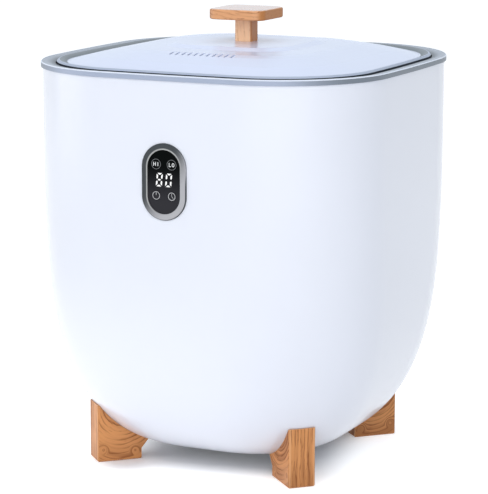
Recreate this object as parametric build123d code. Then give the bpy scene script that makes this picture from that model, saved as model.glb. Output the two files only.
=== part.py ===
from build123d import *
import math
import os

# Towel warmer bucket. Millimetres, +Z up, front towards -Y.
# Origin: centre of the four feet, on the surface the bucket stands on.

# --- Bucket outline ---
bucket_width = 300.0
bucket_height = 332.0
rim_corner_radius = 94.0
side_bow_radius = 1530.0
ground_clearance = 14.0
belly_height = 232.0
bottom_width = 126.0
bottom_corner_radius = 48.0
belly_depth_power = 3.364
belly_round_power = 2.05
belly_sections = 12
belly_slope_step = 1e-4
shell_wall = 2.5

# --- Rim trim ---
rim_overhang = 1.5
rim_band = 4.5
rim_edge_chamfer = 0.8
rim_lip = 2.0
rim_width = 12.0
rim_fall = 1.8
ledge_width = 7.0
ledge_depth = 11.0
ledge_thickness = 2.5

# --- Inner pot and its heating ---
pot_setback = 2.0
pot_taper = 17.0
pot_wall = 1.2
pot_floor_fillet = 12.0
base_room = 52.0
flange_clearance = 2.0
gasket_thickness = 1.0
flange_rib_thickness = 3.0
flange_rib_depth = 12.0
flange_rib_reach = 6.0
flange_rib_offset = 40.0
heater_thickness = 1.2
heater_lift = 32.0
heater_height = 140.0
wrap_thickness = 4.0
wrap_overlap = 4.0
base_heater_radius = 75.0
base_heater_thickness = 4.0
cutoff_radius = 8.0
cutoff_height = 8.0
cutoff_tab_thickness = 0.8
cutoff_tab_width = 4.8
cutoff_tab_length = 6.4
cutoff_tab_offset = 4.0
cutoff_tab_overlap = 0.8
sensor_radius = 2.5
sensor_length = 20.0
sensor_offset = 86.0
clip_wall = 1.0
clip_length = 10.0
clip_foot = 5.0

# --- Feet ---
foot_top_height = 48.6
foot_length = 37.7
foot_width = 22.8
foot_overhang = 1.0
foot_heel_height = 9.0
foot_heel_reach = 6.4
foot_heel_rise = 7.7
foot_edge_radius = 1.5
foot_sole_chamfer = 0.75
foot_seat_gap = 0.15
foot_screw_inset = 14.5
foot_screw_pitch = 15.0
foot_screw_length = 30.0
foot_boss_radius = 5.5
foot_boss_rise = 6.0

# --- Screws ---
screw_head_height = 2.0
screw_head_overlap = 1.6
screw_clearance = 0.2
large_screw_radius = 2.0
small_screw_radius = 1.5
tiny_screw_radius = 0.9
tiny_head_height = 1.0
tiny_head_overlap = 0.7

# --- Base cover and power board ---
cover_plate_width = 109.4
cover_plate_corner = 40.0
cover_plate_thickness = 2.5
cover_fit = 0.3
cover_ledge = 9.0
cover_frame_height = 6.0
cover_frame_margin = 3.0
base_screw_length = 5.0
base_screw_inset = 6.75
base_slot_count = 7
base_slot_pitch = 6.0
base_slot_width = 2.0
base_slot_length = 30.0
board_length = 68.0
board_depth = 62.0
board_thickness = 1.6
board_edge_inset = 4.5
standoff_height = 7.5
standoff_radius = 3.5
board_screw_length = 6.0
relay_size = (19.0, 15.5, 15.0)
relay_place = (-16.0, 8.0)
terminal_size = (22.0, 10.0, 11.0)
terminal_place = (2.0, -18.0)
terminal_mouth = 3.0
terminal_mouth_height = 4.4
terminal_poles = 4
capacitor_radius = 6.0
capacitor_height = 16.0
capacitor_place = (16.0, 8.0)
component_edge_radius = 1.0

# --- Cord gland on the back ---
gland_height = 96.0
gland_flange_radius = 11.0
gland_flange_thickness = 3.0
gland_edge_radius = 1.2
gland_neck_radius = 7.0
gland_neck_stand = 2.0
gland_bore_radius = 3.6
gland_pad_radius = 14.0
gland_pad_cover = 0.7
gland_seat_fit = 0.3
gland_nut_flats = 20.0
gland_nut_thickness = 4.0

# --- Control panel ---
panel_drop = 83.3
bezel_width = 38.4
bezel_height = 60.6
bezel_band = 5.0
bezel_stand = 1.4
bezel_sink = 0.4
bezel_edge_radius = 0.6
bezel_lip = 0.8
lens_seat = 1.0
lens_fit = 0.05
lens_thickness = 1.6
collar_wall = 1.0
collar_depth = 2.1
collar_fit = 0.15
frame_fit = 0.3
frame_wall = 1.3
key_pitch = 13.5
key_row_up = 13.8
key_row_down = 10.9
heat_key_radius = 4.3
round_key_radius = 3.9
key_proud = 0.2
key_edge_radius = 0.14
key_fit = 0.1
key_flange = 0.9
key_flange_thickness = 0.8
key_travel = 0.8
key_stem_radius = 1.5
key_stem_fit = 0.3
key_stem_entry = 1.0
key_end_gap = 0.4
switch_size = 6.0
switch_gap = 0.6
switch_floor = 1.0
display_width = 20.0
display_height = 13.0
display_rise = 1.6
display_gap = 0.3
display_board_fit = 0.3
display_board_thickness = 1.6
board_shelf = 3.3
solder_room = 2.0
housing_floor = 2.0
ear_width = 38.0
ear_height = 78.0
ear_thickness = 2.0
ear_corner = 5.0
ear_inset = 4.5
panel_boss_radius = 3.6
panel_boss_height = 5.0
panel_screw_length = 6.0
display_screw_length = 3.0

# --- Lid ---
lid_gap = 1.0
lid_ring_width = 8.4
lid_crest_rise = 1.0
lid_crest_bevel = 1.5
lid_crest_width = 0.8
lid_crest_fall = 2.0
lid_leg_width = 4.0
lid_leg_depth = 7.5
seal_width = 5.0
ring_shelf = 8.0
ring_shelf_thickness = 2.5
cover_seat_depth = 1.6
lid_wall = 2.2
skirt_width = 42.6
skirt_rise = 9.6
skirt_crown = 0.5
vent_step_width = 8.0
vent_step_rise = 1.3
terrace_width = 20.0
terrace_rise = 0.8
plateau_step_width = 7.0
plateau_step_rise = 2.1
vent_count = 11
vent_pitch = 5.4
vent_slot_width = 1.7
vent_slot_overrun = 0.5
plate_thickness = 2.0
plate_fit = 0.3
plate_flange_width = 13.0
dish_slope = 6.0
dish_depth = 5.9
lid_boss_reach = 100.0
lid_boss_radius = 4.5
lid_screw_length = 9.0

# --- Knob ---
knob_size = 50.0
knob_corner = 9.5
knob_thickness = 8.5
knob_edge_radius = 1.5
stem_size = 15.0
stem_corner = 2.2
stem_height = 18.7
tenon_radius = 5.5
tenon_length = 4.0
knob_boss_radius = 12.0
knob_boss_height = 3.0
knob_washer_radius = 8.0
knob_washer_thickness = 1.2
knob_screw_bite = 11.0

# --- Heights and half-widths that follow ---
rim_half = bucket_width / 2
shell_half = rim_half - rim_overhang
bottom_half = bottom_width / 2
shell_top = bucket_height - rim_band
shell_floor = ground_clearance + shell_wall
rim_inner_half = rim_half - rim_width
rim_inner_top = bucket_height - rim_fall
ledge_half = rim_inner_half - ledge_width
ledge_top = bucket_height - ledge_depth
ledge_bottom = ledge_top - ledge_thickness
flange_top = ledge_bottom - gasket_thickness
flange_bottom = flange_top - pot_wall
flange_half = shell_half - shell_wall - flange_clearance
pot_top_half = ledge_half - pot_setback
pot_base_half = pot_top_half - pot_taper
pot_bottom = ground_clearance + base_room
panel_z = bucket_height - panel_drop
wall_front = -shell_half
wall_inside = wall_front + shell_wall

vertical = (0, 0, 1)
inward = (0, 1, 0)


# --- Shared outlines ---
def offset_corner(half):
    """Corner radius of an outline that runs parallel to the rim."""
    return rim_corner_radius - (rim_half - half)


def corner_centre(half, corner):
    """Distance of the corner arc's centre from each centre plane, tangent to the bowed side."""
    bow = side_bow_radius - (rim_half - half)
    side_centre = half - bow
    rest = side_centre**2 - (bow - corner) ** 2
    return (side_centre + math.sqrt(side_centre**2 - 2 * rest)) / 2


def outline(half, z, corner=None):
    """Rounded square with slightly bowed sides, as a face at height z."""
    radius = offset_corner(half) if corner is None else corner
    bow = side_bow_radius - (rim_half - half)
    side_centre = half - bow
    centre = corner_centre(half, radius)
    turn = math.degrees(math.atan2(centre, centre - side_centre))
    side = CenterArc((side_centre, 0, 0), bow, -turn, 2 * turn)
    bend = CenterArc((centre, centre, 0), radius, turn, 90 - 2 * turn)
    edges = [edge.rotate(Axis.Z, 90 * quarter) for quarter in range(4) for edge in (side, bend)]
    return Face(Wire(edges)).moved(Location((0, 0, z)))


def diagonal_reach(half, corner):
    """Distance from the axis to the outline, along the diagonal."""
    return corner_centre(half, corner) * math.sqrt(2) + corner


def prism(half, low, high, corner=None):
    """Straight-sided block on the bucket's outline, between two heights."""
    return extrude(outline(half, low, corner), high - low, dir=vertical)


def levels(profile):
    """Block on the rim's outline, with its half-width given at each height from the bottom up."""
    block = Part()
    for (low_half, low), (high_half, high) in zip(profile, profile[1:]):
        if high > low and low_half == high_half:
            block += prism(low_half, low, high)
        elif high > low:
            block += loft([outline(low_half, low), outline(high_half, high)], ruled=True)
    return block


def post(radius, x, y, low, high):
    """Upright round post."""
    return extrude(Pos(x, y, low) * Circle(radius), high - low, dir=vertical)


def rod(radius, x, z, front, back):
    """Round rod along the front-to-back direction."""
    face = Plane(origin=(x, front, z), x_dir=(1, 0, 0), z_dir=inward) * Circle(radius)
    return extrude(face, back - front, dir=inward)


def corners(reach):
    """The four places at one distance from the axis, on the diagonals."""
    step = reach / math.sqrt(2)
    return [(x * step, y * step) for x in (-1, 1) for y in (-1, 1)]


def screw(radius, overlap, head_height, length):
    """Screw with a plain round head above the XY plane and its shank below it."""
    return post(radius + overlap, 0, 0, 0, head_height) + post(radius, 0, 0, -length, 0)


def separate(solids):
    """Group of separate solids that share one node."""
    return Compound(children=[solid for group in solids for solid in group.solids()])


# --- Outer shell ---
def belly_at(height):
    """Half-width and corner radius of the shell's outside at a height."""
    drop = min(max((belly_height - height) / (belly_height - ground_clearance), 0.0), 1.0)
    share = (1 - drop**belly_depth_power) ** (1 / belly_round_power)
    half = bottom_half + (shell_half - bottom_half) * share
    wall_roundness = offset_corner(shell_half) / shell_half
    bottom_roundness = bottom_corner_radius / bottom_half
    return half, half * (wall_roundness + (bottom_roundness - wall_roundness) * drop)


def belly_point(share):
    """Half-width and height on the belly curve, share 0 at the bottom and 1 at the straight wall."""
    turn = share * math.pi / 2
    half = bottom_half + (shell_half - bottom_half) * math.sin(turn) ** (2 / belly_round_power)
    drop = max(math.cos(turn), 0.0) ** (2 / belly_depth_power)
    return half, belly_height - (belly_height - ground_clearance) * drop


def belly_face(share, inset):
    """Section of the belly, moved inwards along the wall's normal by inset."""
    half, height = belly_point(share)
    low_half, low = belly_point(max(share - belly_slope_step, 0.0))
    high_half, high = belly_point(min(share + belly_slope_step, 1.0))
    run = math.hypot(high_half - low_half, high - low)
    moved = half - inset * (high - low) / run
    corner = belly_at(height)[1] - (half - moved)
    return outline(moved, height + inset * (high_half - low_half) / run, corner)


def shell_body(inset, top):
    """The bucket's solid form: the belly curve and the straight wall above it."""
    faces = [belly_face(step / belly_sections, inset) for step in range(belly_sections)]
    faces.append(outline(shell_half - inset, belly_height))
    return loft(faces) + prism(shell_half - inset, belly_height, top)


def foot_screw_places():
    """Two screws to each foot, along the diagonal."""
    outer = foot_outer_reach() - foot_screw_inset
    return corners(outer) + corners(outer - foot_screw_pitch)


def foot_outer_reach():
    """Distance of a foot's outer face from the axis, just outside the shell at the foot's top."""
    return diagonal_reach(*belly_at(foot_top_height)) + foot_overhang


def foot_boss_top():
    return foot_top_height - foot_boss_rise


def base_screw_places():
    """Screws of the base cover, in the middle of the ledge at the corners."""
    plate_half = cover_plate_width / 2
    outer = diagonal_reach(plate_half, cover_plate_corner)
    return corners(outer - base_screw_inset)


def flange_ribs():
    """Eight gussets inside the wall that the pot's flange rests on."""
    outer = shell_half - shell_wall / 2
    inner = flange_half - flange_rib_reach
    profile = Polyline(
        (outer, flange_bottom),
        (inner, flange_bottom),
        (outer, flange_bottom - flange_rib_depth),
        close=True,
    )
    plate = extrude(Plane.XZ * make_face(profile), flange_rib_thickness / 2, both=True)
    pair = [Pos(0, side * flange_rib_offset, 0) * plate for side in (-1, 1)]
    return [rib.rotate(Axis.Z, 90 * quarter) for quarter in range(4) for rib in pair]


def panel_boss_places():
    """Screw bosses round the panel opening, as (x, z)."""
    across = ear_width / 2 - ear_inset
    up = ear_height / 2 - ear_inset
    return [(x * across, panel_z + z * up) for x in (-1, 1) for z in (-1, 1)]


def racetrack(width, height, front, back):
    """Upright racetrack block on the panel's centre line."""
    face = Plane(origin=(0, front, panel_z), x_dir=(1, 0, 0), z_dir=inward)
    return extrude(face * SlotOverall(height, width, rotation=90), back - front, dir=inward)


def gland_face():
    """Flat outside face of the pad that the gland seats on, level with the belly at its middle."""
    return belly_at(gland_height)[0]


def gland_pad_back():
    """Flat inside face of the pad, clear of the sloping wall all round the gland's nut."""
    lowest = gland_height - gland_nut_flats / math.sqrt(3)
    return belly_at(lowest)[0] - shell_wall - gland_pad_cover


def panel_opening():
    """Cut for the control panel: a flat seat for the bezel and a hole for its collar."""
    past = 2 * bezel_sink
    seat_width = bezel_width + 2 * lens_fit
    seat_height = bezel_height + 2 * lens_fit
    seat = racetrack(seat_width, seat_height, wall_front - past, wall_front + bezel_sink)
    hole_width = collar_width() + 2 * collar_fit
    hole_height = collar_height() + 2 * collar_fit
    return seat + racetrack(hole_width, hole_height, wall_front - past, wall_inside + past)


def outer_shell():
    """Moulded bucket with its screw bosses, rib gussets, panel opening and base opening."""
    body = shell_body(0, shell_top)
    shell = body - shell_body(shell_wall, shell_top) - panel_opening()
    plate_half = cover_plate_width / 2
    frame_half = plate_half + cover_frame_margin
    frame_corner = cover_plate_corner + cover_frame_margin
    frame = prism(frame_half, ground_clearance, ground_clearance + cover_frame_height, frame_corner)
    shell += frame & body
    for x, y in foot_screw_places():
        shell += post(foot_boss_radius, x, y, 0, foot_boss_top()) & body
    for rib in flange_ribs():
        shell += rib & body
    for x, z in panel_boss_places():
        shell += rod(panel_boss_radius, x, z, wall_inside - shell_wall / 2, ear_front())
    shell += rod(gland_pad_radius, 0, gland_height, gland_pad_back(), gland_face())

    opening_half = plate_half - cover_ledge
    opening_corner = cover_plate_corner - cover_ledge
    seat_half = plate_half + cover_fit
    seat_top = ground_clearance + cover_plate_thickness
    shell -= prism(seat_half, ground_clearance, seat_top, cover_plate_corner + cover_fit)
    shell -= prism(opening_half, ground_clearance, shell_floor + cover_frame_height, opening_corner)
    screw_end = ground_clearance + base_screw_length
    for x, y in base_screw_places():
        shell -= post(small_screw_radius, x, y, seat_top, screw_end)
    for x, y in foot_screw_places():
        shell -= post(large_screw_radius + screw_clearance, x, y, 0, foot_boss_top())
    for x, z in panel_boss_places():
        shell -= rod(tiny_screw_radius, x, z, ear_front() - panel_screw_length + ear_thickness, ear_front())
    neck_hole = gland_neck_radius + screw_clearance
    shell -= rod(neck_hole, 0, gland_height, gland_pad_back(), gland_face())
    flange_seat = gland_flange_radius + gland_seat_fit
    shell -= rod(flange_seat, 0, gland_height, gland_face(), gland_face() + gland_flange_radius)
    return shell


# --- Rim trim ---
def rim_trim():
    """Grey band over the shell's top edge, with the ledge that the lid and the pot flange use."""
    leg_half = shell_half - shell_wall
    outside = levels([
        (leg_half, ledge_bottom),
        (leg_half, shell_top),
        (rim_half, shell_top),
        (rim_half, bucket_height - rim_edge_chamfer),
        (rim_half - rim_edge_chamfer, bucket_height),
    ])
    mouth = levels([
        (ledge_half, ledge_bottom),
        (ledge_half, ledge_top),
        (rim_inner_half, ledge_top),
        (rim_inner_half, rim_inner_top),
        (rim_half - rim_edge_chamfer - rim_lip, bucket_height),
    ])
    return outside - mouth


# --- Inner pot and its heating ---
def pot_half_at(height):
    """Half-width of the pot's outside at a height."""
    share = (height - pot_bottom) / (flange_top - pot_bottom)
    return pot_base_half + (pot_top_half - pot_base_half) * share


def pot_form(inset, low, high, outer=0.0):
    """The pot's tapered form between two heights, moved in by inset or out by outer."""
    faces = [outline(pot_half_at(z) - inset + outer, z) for z in (low, high)]
    return loft(faces, ruled=True)


def inner_pot():
    """Drawn aluminium pot with a rounded floor and a flat flange."""
    outside = pot_form(0, pot_bottom, flange_top)
    outside = fillet(outside.faces().sort_by(Axis.Z)[0].edges(), pot_floor_fillet)
    hollow = pot_form(pot_wall, pot_bottom + pot_wall, flange_top)
    hollow = fillet(hollow.faces().sort_by(Axis.Z)[0].edges(), pot_floor_fillet - pot_wall)
    flange = prism(flange_half, flange_bottom, flange_top)
    return outside + flange - hollow


def pot_gasket():
    """Flat silicone gasket between the pot's flange and the underside of the rim."""
    ring = prism(flange_half, flange_top, ledge_bottom)
    return ring - prism(ledge_half, flange_top, ledge_bottom)


def wrap_between(inner, outer, low, high):
    """Sleeve round the pot, between two distances from its wall."""
    return pot_form(0, low, high, outer) - pot_form(0, low, high, inner)


def heater_low():
    return pot_bottom + heater_lift


def heater_band():
    low = heater_low()
    return wrap_between(0, heater_thickness, low, low + heater_height)


def insulation_wrap():
    low = heater_low() - wrap_overlap
    high = heater_low() + heater_height + wrap_overlap
    return wrap_between(heater_thickness, heater_thickness + wrap_thickness, low, high)


def base_heater():
    return post(base_heater_radius, 0, 0, pot_bottom - base_heater_thickness, pot_bottom)


def thermal_cutoff():
    """Round thermal cut-off pressed to the base heater, with two tab terminals."""
    top = pot_bottom - base_heater_thickness
    can = post(cutoff_radius, 0, 0, top - cutoff_height, top)
    tab = Box(cutoff_tab_thickness, cutoff_tab_width, cutoff_tab_length)
    tab_middle = top - cutoff_height + cutoff_tab_overlap - cutoff_tab_length / 2
    for side in (-1, 1):
        can += Pos(side * cutoff_tab_offset, 0, tab_middle) * tab
    return can


def temperature_sensor():
    """Bead thermistor in a tube, lying against the pot's floor."""
    face = Plane.YZ.offset(sensor_offset - sensor_length / 2) * Pos(0, pot_bottom - sensor_radius)
    return extrude(face * Circle(sensor_radius), sensor_length)


def sensor_clip():
    """Saddle clip that holds the sensor up against the pot."""
    outer = sensor_radius + clip_wall
    low = pot_bottom - 2 * sensor_radius - clip_wall
    saddle = Box(clip_length, 2 * outer, pot_bottom - low)
    saddle = Pos(sensor_offset, 0, (pot_bottom + low) / 2) * saddle
    foot = Box(clip_length, 2 * (outer + clip_foot), clip_wall)
    foot = Pos(sensor_offset, 0, pot_bottom - clip_wall / 2) * foot
    channel = Box(clip_length, 2 * sensor_radius, 2 * sensor_radius)
    return saddle + foot - Pos(sensor_offset, 0, pot_bottom - sensor_radius) * channel


# --- Feet ---
def foot(x_side, y_side):
    """Wooden foot on the diagonal, scooped to the shell's belly and drilled for its screws."""
    outer = foot_outer_reach()
    inner = outer - foot_length
    profile = Polyline(
        (inner, 0),
        (outer, 0),
        (outer, foot_top_height),
        (inner - foot_heel_reach, foot_top_height),
        (inner - foot_heel_reach, foot_heel_height + foot_heel_rise),
        (inner, foot_heel_height),
        close=True,
    )
    block = extrude(Plane.XZ * make_face(profile), foot_width / 2, both=True)
    uprights = block.edges().filter_by(Axis.Z).group_by(Axis.X)[-1]
    block = fillet(uprights, foot_edge_radius)
    sole = block.faces().sort_by(Axis.Z)[0].edges()
    block = chamfer(sole, foot_sole_chamfer)
    block = block.rotate(Axis.Z, math.degrees(math.atan2(y_side, x_side)))
    block -= shell_body(-foot_seat_gap, shell_top)
    low = foot_boss_top() - foot_screw_length
    for x, y in foot_screw_places():
        block -= post(large_screw_radius, x, y, low, foot_boss_top())
    return block


def foot_screws():
    pattern = screw(large_screw_radius, screw_head_overlap, screw_head_height, foot_screw_length)
    return separate([Pos(x, y, foot_boss_top()) * pattern for x, y in foot_screw_places()])


# --- Base cover and power board ---
def board_bottom():
    return ground_clearance + cover_plate_thickness + standoff_height


def board_screw_places():
    across = board_length / 2 - board_edge_inset
    along = board_depth / 2 - board_edge_inset
    return [(x * across, y * along) for x in (-1, 1) for y in (-1, 1)]


def base_cover():
    """Flush cover under the base, with vent slots and the power board's standoffs."""
    cover_top = ground_clearance + cover_plate_thickness
    cover = prism(cover_plate_width / 2, ground_clearance, cover_top, cover_plate_corner)
    for x, y in board_screw_places():
        cover += post(standoff_radius, x, y, cover_top, board_bottom())
        cover -= post(small_screw_radius, x, y, board_bottom() - board_screw_length, board_bottom())
    for x, y in base_screw_places():
        cover -= post(small_screw_radius + screw_clearance, x, y, ground_clearance, cover_top)
    for index in range(base_slot_count):
        x = (index - (base_slot_count - 1) / 2) * base_slot_pitch
        slot = SlotOverall(base_slot_length, base_slot_width, rotation=90)
        cover -= extrude(Pos(x, 0, ground_clearance) * slot, cover_plate_thickness, dir=vertical)
    return cover


def base_screws():
    pattern = screw(small_screw_radius, screw_head_overlap, screw_head_height, base_screw_length)
    turned = pattern.rotate(Axis.X, 180)
    return separate([Pos(x, y, ground_clearance) * turned for x, y in base_screw_places()])


def power_board():
    plate = Box(board_length, board_depth, board_thickness)
    board = Pos(0, 0, board_bottom() + board_thickness / 2) * plate
    board_top = board_bottom() + board_thickness
    for x, y in board_screw_places():
        board -= post(small_screw_radius + screw_clearance, x, y, board_bottom(), board_top)
    return board


def board_screws():
    top = board_bottom() + board_thickness
    length = board_screw_length + board_thickness
    pattern = screw(small_screw_radius, screw_head_overlap, screw_head_height, length)
    return separate([Pos(x, y, top) * pattern for x, y in board_screw_places()])


def on_board(size, place):
    """Block standing on the power board."""
    top = board_bottom() + board_thickness
    return Pos(place[0], place[1], top + size[2] / 2) * Box(*size)


def relay():
    block = on_board(relay_size, relay_place)
    return fillet(block.edges().filter_by(Axis.Z), component_edge_radius)


def terminal_block():
    """Screw terminal block with a mouth for each wire."""
    block = on_board(terminal_size, terminal_place)
    pitch = terminal_size[0] / terminal_poles
    front = terminal_place[1] - terminal_size[1] / 2
    z = board_bottom() + board_thickness + terminal_mouth_height
    for index in range(terminal_poles):
        x = terminal_place[0] + (index - (terminal_poles - 1) / 2) * pitch
        block -= Pos(x, front, z) * Box(terminal_mouth, terminal_size[1], terminal_mouth)
    return block


def filter_capacitor():
    top = board_bottom() + board_thickness
    can = post(capacitor_radius, *capacitor_place, top, top + capacitor_height)
    return fillet(can.edges().sort_by(Axis.Z)[-1], component_edge_radius)


# --- Cord gland ---
def cord_gland():
    """Flanged gland through the back wall, bored for the cord."""
    face = gland_face()
    flange = rod(gland_flange_radius, 0, gland_height, face, face + gland_flange_thickness)
    flange = fillet(flange.edges().sort_by(Axis.Y)[-1], gland_edge_radius)
    neck_end = gland_pad_back() - gland_nut_thickness - gland_neck_stand
    neck = rod(gland_neck_radius, 0, gland_height, neck_end, face)
    return flange + neck - rod(gland_bore_radius, 0, gland_height, neck_end, face + gland_flange_thickness)


def gland_nut():
    """Hexagon nut that pulls the gland against the inside of the wall pad."""
    seat = gland_pad_back()
    front = seat - gland_nut_thickness
    plane = Plane(origin=(0, front, gland_height), x_dir=(1, 0, 0), z_dir=inward)
    hexagon = RegularPolygon(gland_nut_flats / 2, 6, major_radius=False)
    nut = extrude(plane * hexagon, gland_nut_thickness, dir=inward)
    return nut - rod(gland_neck_radius, 0, gland_height, front, seat)


# --- Control panel ---
def lens_width():
    return bezel_width - 2 * bezel_band + 2 * lens_seat


def lens_height():
    return bezel_height - 2 * bezel_band + 2 * lens_seat


def collar_width():
    return lens_width() + 2 * (lens_fit + collar_wall)


def collar_height():
    return lens_height() + 2 * (lens_fit + collar_wall)


def bezel_front():
    return wall_front - bezel_stand


def lens_front():
    return bezel_front() + bezel_lip


def lens_back():
    return lens_front() + lens_thickness


def switch_front():
    return lens_back() + key_flange_thickness + key_travel + switch_gap


def switch_depth():
    """Height of a switch: the stem's entry, its travel, the gap at its end and a floor."""
    return key_stem_entry + key_travel + key_end_gap + switch_floor


def board_front():
    return switch_front() + switch_depth()


def board_back():
    return board_front() + display_board_thickness


def ear_front():
    return wall_inside + panel_boss_height


def key_places():
    """Each round control: node name, x, z and radius."""
    left = -key_pitch / 2
    right = key_pitch / 2
    high = panel_z + key_row_up
    low = panel_z - key_row_down
    return [
        ("key_hi", left, high, heat_key_radius),
        ("key_lo", right, high, heat_key_radius),
        ("key_power", left, low, round_key_radius),
        ("key_timer", right, low, round_key_radius),
    ]


def panel_bezel():
    """Silver racetrack ring with a collar that passes through the wall and holds the lens."""
    seat = wall_front + bezel_sink
    ring = racetrack(bezel_width, bezel_height, bezel_front(), seat)
    ring = fillet(ring.edges().group_by(Axis.Y)[0], bezel_edge_radius)
    ring += racetrack(collar_width(), collar_height(), seat, seat + collar_depth)
    window_width = bezel_width - 2 * bezel_band
    window_height = bezel_height - 2 * bezel_band
    ring -= racetrack(window_width, window_height, bezel_front(), lens_front())
    pocket_width = lens_width() + 2 * lens_fit
    pocket_height = lens_height() + 2 * lens_fit
    return ring - racetrack(pocket_width, pocket_height, lens_front(), seat + collar_depth)


def panel_lens():
    lens = racetrack(lens_width(), lens_height(), lens_front(), lens_back())
    for _, x, z, radius in key_places():
        lens -= rod(radius + key_fit, x, z, lens_front(), lens_back())
    return lens


def key(x, z, radius):
    """Short-travel key: cap in the lens, flange behind it and a stem into its switch."""
    cap = rod(radius, x, z, lens_front() - key_proud, lens_back())
    cap = fillet(cap.edges().sort_by(Axis.Y)[0], key_edge_radius)
    flange = rod(radius + key_flange, x, z, lens_back(), lens_back() + key_flange_thickness)
    stem_back = switch_front() + key_stem_entry
    stem = rod(key_stem_radius, x, z, lens_back() + key_flange_thickness, stem_back)
    return cap + flange + stem


def key_switches():
    """Tact switches on the display board, each with a well for its key's stem."""
    switches = []
    for _, x, z, _ in key_places():
        middle = (switch_front() + board_front()) / 2
        block = Pos(x, middle, z) * Box(switch_size, switch_depth(), switch_size)
        well = key_stem_entry + key_travel + key_end_gap
        hole = rod(key_stem_radius + key_stem_fit, x, z, switch_front(), switch_front() + well)
        switches.append(block - hole)
    return separate(switches)


def digit_display():
    """Two-digit display block, close behind the lens."""
    front = lens_back() + display_gap
    depth = board_front() - front
    block = Box(display_width, depth, display_height)
    return Pos(0, front + depth / 2, panel_z + display_rise) * block


def frame_width():
    return lens_width() + 2 * (lens_fit - frame_fit)


def frame_height():
    return lens_height() + 2 * (lens_fit - frame_fit)


def display_screw_places():
    up = frame_height() / 2 - frame_wall - board_shelf / 2
    return [panel_z - up, panel_z + up]


def display_board():
    shrink = 2 * (frame_wall + display_board_fit)
    board = racetrack(frame_width() - shrink, frame_height() - shrink, board_front(), board_back())
    for z in display_screw_places():
        board -= rod(tiny_screw_radius + screw_clearance, 0, z, board_front(), board_back())
    return board


def panel_housing():
    """Light frame behind the lens that carries the display board, with a screw plate round it."""
    floor_front = board_back() + solder_room
    floor_back = floor_front + housing_floor
    housing = racetrack(frame_width(), frame_height(), lens_back(), floor_back)
    plate_plane = Plane(origin=(0, ear_front(), panel_z), x_dir=(1, 0, 0), z_dir=inward)
    plate = RectangleRounded(ear_width, ear_height, ear_corner)
    housing += extrude(plate_plane * plate, ear_thickness, dir=inward)
    inside = 2 * frame_wall
    housing -= racetrack(frame_width() - inside, frame_height() - inside, lens_back(), board_back())
    pocket = inside + 2 * board_shelf
    housing -= racetrack(frame_width() - pocket, frame_height() - pocket, board_back(), floor_front)
    for x, z in panel_boss_places():
        housing -= rod(tiny_screw_radius + screw_clearance, x, z, ear_front(), ear_front() + ear_thickness)
    for z in display_screw_places():
        housing -= rod(tiny_screw_radius, 0, z, board_back(), board_back() + solder_room)
    return housing


def front_screw(length):
    """Small screw with its shank pointing to the front."""
    pattern = screw(tiny_screw_radius, tiny_head_overlap, tiny_head_height, length)
    return pattern.rotate(Axis.X, -90)


def panel_screws():
    """Screws from inside, through the housing's plate and into the shell's bosses."""
    back = ear_front() + ear_thickness
    pattern = front_screw(panel_screw_length)
    return separate([Pos(x, back, z) * pattern for x, z in panel_boss_places()])


def display_screws():
    """Screws from the front, through the display board and into the housing."""
    pattern = front_screw(display_screw_length).rotate(Axis.Z, 180)
    return separate([Pos(0, board_front(), z) * pattern for z in display_screw_places()])


# --- Lid ---
def lid_ring_half():
    return rim_inner_half - lid_gap


def lid_cover_half():
    return lid_ring_half() - lid_ring_width


def lid_crest():
    return bucket_height + lid_crest_rise


def lid_ring_edge():
    return lid_crest() - lid_crest_bevel


def lid_skirt_low():
    return lid_crest() - lid_crest_fall


def cover_seat():
    return lid_skirt_low() - cover_seat_depth


def leg_bottom():
    return lid_ring_edge() - lid_leg_depth


def plateau_top():
    return lid_skirt_low() + skirt_rise + vent_step_rise + terrace_rise + plateau_step_rise


def lid_profile():
    """Half-width and height of the cover from its skirt to its plateau."""
    half = lid_cover_half()
    height = lid_skirt_low()
    runs = [
        (skirt_width, skirt_rise, skirt_crown),
        (vent_step_width, vent_step_rise, 0.0),
        (terrace_width, terrace_rise, 0.0),
        (plateau_step_width, plateau_step_rise, 0.0),
    ]
    points = [(half, height)]
    for width, rise, crown in runs:
        points.append((half - width / 2, height + rise / 2 + crown))
        half -= width
        height += rise
        points.append((half, height))
    return points


def lid_form(drop):
    """The cover's stepped form, lowered by drop."""
    roundness = offset_corner(lid_cover_half()) / lid_cover_half()
    faces = [outline(half, height - drop, half * roundness) for half, height in lid_profile()]
    return loft(faces, ruled=True)


def lid_cover():
    """White stepped cover with its vent slots, screw bosses and knob boss."""
    form = prism(lid_cover_half(), cover_seat(), lid_skirt_low()) + lid_form(0)
    cover = form - lid_form(lid_wall)
    for x, y in corners(lid_boss_reach):
        cover += post(lid_boss_radius, x, y, dish_floor_top(), plateau_top()) & form
        low = dish_floor_top()
        cover -= post(small_screw_radius, x, y, low, low + lid_screw_length - plate_thickness)
    cover += post(knob_boss_radius, 0, 0, knob_boss_low(), plateau_top() - lid_wall)
    cover -= post(large_screw_radius + screw_clearance, 0, 0, knob_boss_low(), plateau_top())
    outer = lid_cover_half() - skirt_width + vent_slot_overrun
    length = vent_step_width + 2 * vent_slot_overrun
    low = lid_skirt_low() + skirt_rise - 2 * lid_wall
    for index in range(vent_count):
        x = (index - (vent_count - 1) / 2) * vent_pitch
        slot = SlotOverall(length, vent_slot_width, rotation=90)
        cover -= extrude(Pos(x, length / 2 - outer, low) * slot, plateau_top() - low, dir=vertical)
    return cover


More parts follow.
